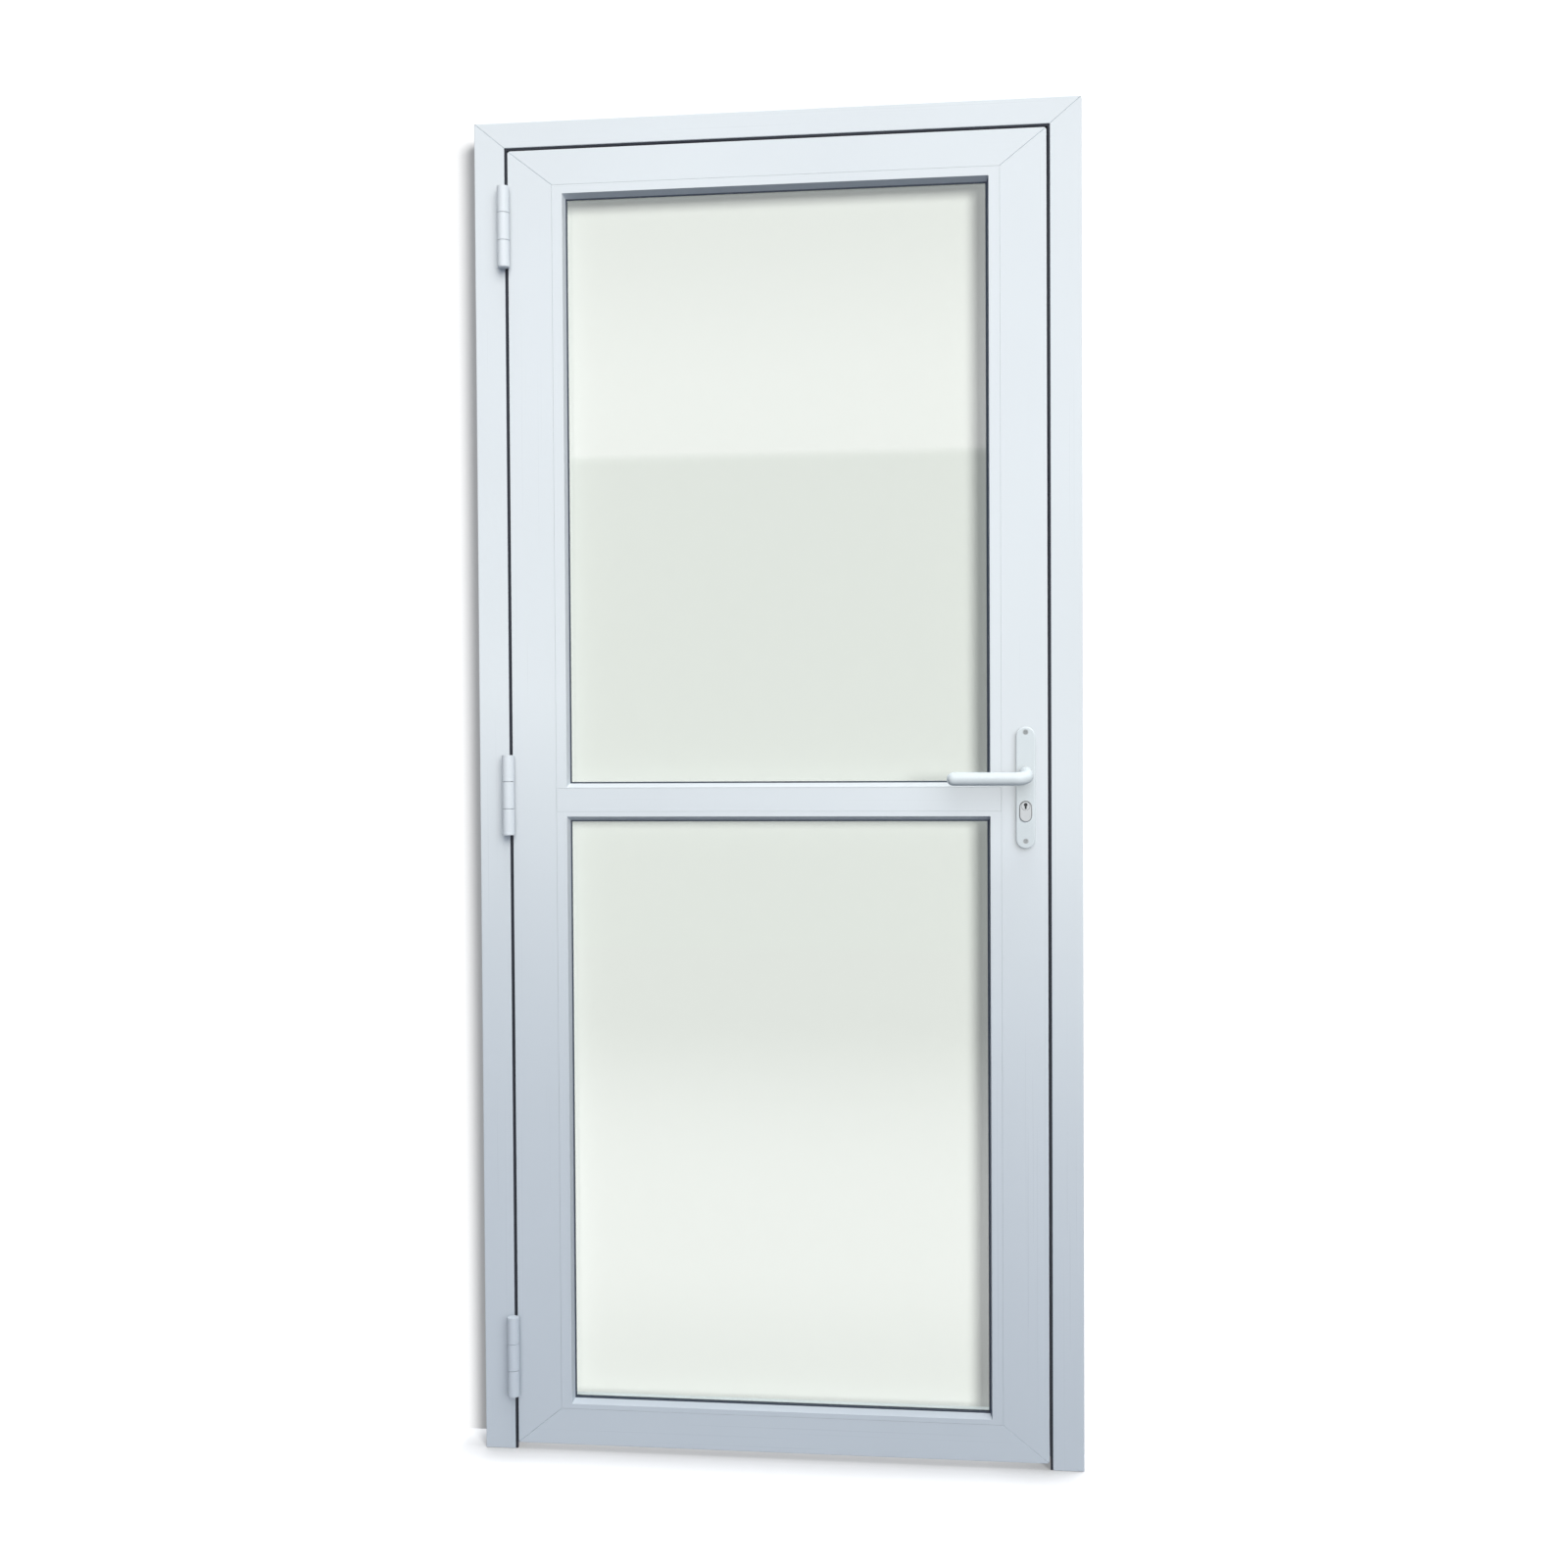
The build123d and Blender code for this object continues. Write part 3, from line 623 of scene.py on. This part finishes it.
glass = new_material("clear float glass")
tree = glass.node_tree
ripple_place = add_node(tree, "ShaderNodeTexCoord")
ripple = add_node(tree, "ShaderNodeTexNoise")
ripple.inputs["Scale"].default_value = ripple_scale
ripple.inputs["Detail"].default_value = 1.0
wire(tree, ripple_place.outputs["Object"], ripple.inputs["Vector"])
shader = add_node(tree, "ShaderNodeBsdfPrincipled")
shader.inputs["Base Color"].default_value = glass_tint
shader.inputs["Roughness"].default_value = 0.0
shader.inputs["IOR"].default_value = glass_refraction
shader.inputs["Transmission Weight"].default_value = 1.0
add_bump(tree, ripple.outputs["Fac"], ripple_depth, ripple_strength, shader)
finish_material(tree, shader)
dress(panes, glass)
for name in panes:
    nodes[name].visible_shadow = False
    nodes[name].visible_diffuse = False

spacer = new_material("dark spacer bar")
tree = spacer.node_tree
place = add_node(tree, "ShaderNodeTexCoord")
holes = add_node(tree, "ShaderNodeTexVoronoi", feature="DISTANCE_TO_EDGE")
holes.inputs["Scale"].default_value = hole_scale
holes.inputs["Randomness"].default_value = 0.0
wire(tree, place.outputs["Object"], holes.inputs["Vector"])
hole_mask = compare(tree, holes.outputs["Distance"], "GREATER_THAN", hole_edge)
shader = add_node(tree, "ShaderNodeBsdfPrincipled")
wire(tree, mix_colours(tree, hole_mask, spacer_dark, spacer_hole), shader.inputs["Base Color"])
shader.inputs["Roughness"].default_value = spacer_roughness
add_bump(tree, holes.outputs["Distance"], hole_depth, hole_strength, shader)
finish_material(tree, shader)
dress(("upper_spacer", "lower_spacer"), spacer)


# The three butt hinges: pressed steel with a white powder coat, which has a fine orange-peel
# skin and is painted a little paler along its edges.
coat_white = (0.785, 0.842, 0.880, 1.0)
coat_edge = (0.86, 0.90, 0.925, 1.0)
coat_refraction = 1.5
edge_agreements = (0.995, 0.90)
hinge_peel_scale = 900.0
hinge_peel_depth = 0.00010
hinge_roughness = (0.26, 0.36)
hinge_names = ("upper", "middle", "lower")

# Paints the colour paler along the rounded edges that the bevel node finds.
paler_edge = new_group(
    "paler edge",
    (
        ("Paint", colour_socket, (1.0, 1.0, 1.0, 1.0)),
        ("Rubbed", colour_socket, (0.7, 0.7, 0.7, 1.0)),
        ("Radius", number_socket, 0.0006),
        ("Amount", number_socket, 0.5),
    ),
    (("Paint", colour_socket), ("Mask", number_socket)),
)
given = add_node(paler_edge, "NodeGroupInput")
rounded = add_node(paler_edge, "ShaderNodeBevel", samples=4)
wire(paler_edge, given.outputs["Radius"], rounded.inputs["Radius"])
plain = add_node(paler_edge, "ShaderNodeNewGeometry")
agree = add_node(paler_edge, "ShaderNodeVectorMath", operation="DOT_PRODUCT")
wire(paler_edge, rounded.outputs["Normal"], agree.inputs[0])
wire(paler_edge, plain.outputs["Normal"], agree.inputs[1])
edge_mask = remap(paler_edge, agree.outputs["Value"], edge_agreements)
share = combine(paler_edge, "MULTIPLY", edge_mask, given.outputs["Amount"], clamp=True)
painted = mix_colours(paler_edge, share, given.outputs["Paint"], given.outputs["Rubbed"])
finish_group(paler_edge, Paint=painted, Mask=share)


def powder_coat(name, colour, peel_scale, peel_depth, roughness_span):
    material = new_material(name)
    tree = material.node_tree
    peel = place_group(tree, drawn_grain, Stretch=(peel_scale, peel_scale, peel_scale), Detail=1.0)
    edged = place_group(tree, paler_edge, Paint=colour, Rubbed=coat_edge, Radius=0.0005, Amount=0.6)
    dusted_and_shaded = place_group(
        tree, dust_and_shade, Paint=edged.outputs["Paint"], Dust=joint_dust_and_shade, Reach=0.003, Amount=0.6
    )
    shader = add_node(tree, "ShaderNodeBsdfPrincipled")
    wire(tree, dusted_and_shaded.outputs["Paint"], shader.inputs["Base Color"])
    roughness = spread(tree, peel.outputs["Lines"], roughness_span)
    wire(tree, roughness, shader.inputs["Roughness"])
    shader.inputs["IOR"].default_value = coat_refraction
    add_bump(tree, peel.outputs["Lines"], peel_depth, bump_strength, shader)
    finish_material(tree, shader)
    return material


coated_steel = powder_coat(
    "white coated steel", coat_white, hinge_peel_scale, hinge_peel_depth, hinge_roughness
)
for hinge in hinge_names:
    pieces = (f"{hinge}_hinge_frame_half", f"{hinge}_hinge_leaf_half", f"{hinge}_hinge_pin")
    dress(pieces, coated_steel)
    for name in pieces:
        nodes[name].visible_diffuse = False


# The lever handles and their long backplates: die-cast alloy with a smooth white coat.
alloy_white = (0.73, 0.80, 0.825, 1.0)
alloy_peel_scale = 600.0
alloy_peel_depth = 0.00006
alloy_roughness = (0.20, 0.28)
alloy_pieces = ("front_lever", "back_lever", "front_backplate", "back_backplate")

coated_alloy = powder_coat(
    "white coated alloy", alloy_white, alloy_peel_scale, alloy_peel_depth, alloy_roughness
)
dress(alloy_pieces, coated_alloy)
for name in alloy_pieces:
    nodes[name].visible_diffuse = False


# The lock: a satin nickel key cylinder, bright plated steel for the case, spindle, faceplate and
# strike, and nickel bolts held back in the case.
nickel = (0.86, 0.90, 0.88, 1.0)
nickel_shade = (0.73, 0.76, 0.745, 1.0)
nickel_roughness = (0.30, 0.42)
# The grime amounts also paint recesses dark as painted shade; the cylinder's is large so that its
# keyhole reads nearly black.
nickel_grime_and_shade = 5.0
zinc = (0.585, 0.625, 0.61, 1.0)
zinc_shade = (0.45, 0.48, 0.47, 1.0)
zinc_roughness = (0.28, 0.42)
zinc_grime_and_shade = 1.0
recess_grime_and_shade = (0.012, 0.012, 0.012, 1.0)
turned_lines = (300.0, 300.0, 2600.0)
rolled_lines = (2200.0, 2200.0, 60.0)
metal_line_depth = 0.00003
shaded_amounts = (0.0, 0.5)


def brushed_metal(name, colour, dark, stretch, roughness_span, grime_and_shade):
    material = new_material(name)
    tree = material.node_tree
    grain = place_group(tree, drawn_grain, Stretch=stretch, Detail=3.0)
    shaded = spread(tree, grain.outputs["Lines"], shaded_amounts)
    tone = mix_colours(tree, shaded, colour, dark)
    # Grime and painted shade: recesses get a nearly black, non-metal colour.
    dusted_and_shaded = place_group(
        tree, dust_and_shade, Paint=tone, Dust=recess_grime_and_shade, Reach=0.006, Amount=grime_and_shade
    )
    unmasked_share = add_node(tree, "ShaderNodeMath", operation="SUBTRACT")
    unmasked_share.inputs[0].default_value = 1.0
    wire(tree, dusted_and_shaded.outputs["Mask"], unmasked_share.inputs[1])
    shader = add_node(tree, "ShaderNodeBsdfPrincipled")
    wire(tree, dusted_and_shaded.outputs["Paint"], shader.inputs["Base Color"])
    roughness = spread(tree, grain.outputs["Lines"], roughness_span)
    wire(tree, roughness, shader.inputs["Roughness"])
    wire(tree, unmasked_share.outputs[0], shader.inputs["Metallic"])
    add_bump(tree, grain.outputs["Lines"], metal_line_depth, bump_strength, shader)
    finish_material(tree, shader)
    return material


satin_nickel = brushed_metal(
    "satin nickel", nickel, nickel_shade, turned_lines, nickel_roughness, nickel_grime_and_shade
)
plated_steel = brushed_metal(
    "plated steel", zinc, zinc_shade, rolled_lines, zinc_roughness, zinc_grime_and_shade
)
dress(("lock_cylinder", "lock_bolts"), satin_nickel)
dress(("lock_case", "lock_faceplate", "strike_plate", "spindle", "plate_screws"), plated_steel)


# The countersunk screws of the hinge plates, the long faceplate and the strike: turned steel
# heads with a cross recess, set flush in the plates.
screw_radius = 0.0036
screw_depth = 0.0016
screw_taper = 0.45
screw_sides = 32
screw_rise = 0.0004
rim_width = 0.0002
rim_angle = math.radians(40.0)
recess_size = (0.0009, 0.0040, 0.0016)
recess_taper = (0.6, 0.35)
underside_slope = -0.9
quarter_turn = math.radians(90.0)
screw_lines = (700.0, 700.0, 700.0)
screw_roughness = (0.26, 0.40)
screw_grime_and_shade = 1.5
hinge_heights = {"upper": 1.9345, "middle": 1.0435, "lower": 0.151}
hinge_screw_steps = ((-0.046, -0.014), (-0.017, -0.027), (0.017, -0.014), (0.046, -0.027))
hinge_screw_turn = 37.0
hinge_screw_start = 11.0
jamb_plate_face = 0.048
stile_plate_face = 0.053
lock_screw_line = -0.010
faceplate_face = 0.8895
faceplate_screw_heights = (0.100, 0.480, 0.940, 1.160, 1.560, 1.960)
faceplate_screw_turn = 29.0
strike_face = 0.897
strike_screw_heights = (0.995, 1.101)
strike_screw_turn = 41.0


def narrow_underside(piece, across, along):
    bpy.ops.object.mode_set(mode="EDIT")
    bpy.ops.mesh.select_mode(type="FACE")
    bpy.ops.mesh.select_all(action="DESELECT")
    bpy.ops.object.mode_set(mode="OBJECT")
    for face in piece.data.polygons:
        face.select = face.normal.z < underside_slope
    bpy.ops.object.mode_set(mode="EDIT")
    bpy.ops.transform.resize(value=(across, along, 1.0), center_override=(0.0, 0.0, 0.0))
    bpy.ops.object.mode_set(mode="OBJECT")


deselect_all()
bpy.ops.mesh.primitive_cylinder_add(vertices=screw_sides, radius=screw_radius, depth=screw_depth)
screw = bpy.context.object
screw.name = "screw_pattern"
narrow_underside(screw, screw_taper, screw_taper)
rim = screw.modifiers.new("rim", "BEVEL")
rim.width = rim_width
rim.segments = 2
rim.limit_method = "ANGLE"
rim.angle_limit = rim_angle
bpy.ops.object.modifier_apply(modifier="rim")
deselect_all()
bpy.ops.mesh.primitive_cube_add(size=1.0, location=(0.0, 0.0, screw_depth / 2))
recess = bpy.context.object
recess.scale = recess_size
bpy.ops.object.transform_apply(location=True, rotation=True, scale=True)
narrow_underside(recess, recess_taper[0], recess_taper[1])
for quarter in (0, 1):
    cut = screw.modifiers.new("recess", "BOOLEAN")
    cut.operation = "DIFFERENCE"
    cut.solver = "EXACT"
    cut.object = recess
    recess.data.transform(Matrix.Rotation(quarter_turn * quarter, 4, "Z"))
    deselect_all()
    screw.select_set(True)
    bpy.context.view_layer.objects.active = screw
    bpy.ops.object.modifier_apply(modifier=cut.name)
bpy.data.objects.remove(recess)
screw_steel = brushed_metal(
    "bright screw steel", zinc, zinc_shade, screw_lines, screw_roughness, screw_grime_and_shade
)
screw.data.materials.clear()
screw.data.materials.append(screw_steel)


def set_screw(name, place, facing, turn, body):
    copy = bpy.data.objects.new(name, screw.data.copy())
    stand = Matrix.Rotation(quarter_turn * facing, 4, "Y")
    lift = Matrix.Translation((0.0, 0.0, screw_rise - screw_depth / 2))
    spin = Matrix.Rotation(turn, 4, "Z")
    copy.data.transform(Matrix.Translation(place) @ stand @ spin @ lift)
    bpy.context.scene.collection.objects.link(copy)
    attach(copy, body)


for hinge, height in hinge_heights.items():
    for count, (rise, depth) in enumerate(hinge_screw_steps, 1):
        turn = math.radians(hinge_screw_turn * count + hinge_screw_start)
        jamb_spot = Vector((jamb_plate_face, depth, height + rise))
        stile_spot = Vector((stile_plate_face, depth, height + rise))
        set_screw(f"{hinge}_jamb_screw_{count}", jamb_spot, 1, turn, "frame")
        set_screw(f"{hinge}_stile_screw_{count}", stile_spot, -1, -turn, "leaf")
for count, height in enumerate(faceplate_screw_heights, 1):
    spot = Vector((faceplate_face, lock_screw_line, height))
    turn = math.radians(faceplate_screw_turn * count)
    set_screw(f"faceplate_screw_{count}", spot, 1, turn, "leaf")
for count, height in enumerate(strike_screw_heights, 1):
    spot = Vector((strike_face, lock_screw_line, height))
    turn = math.radians(strike_screw_turn * count)
    set_screw(f"strike_screw_{count}", spot, -1, turn, "frame")
bpy.data.objects.remove(screw)
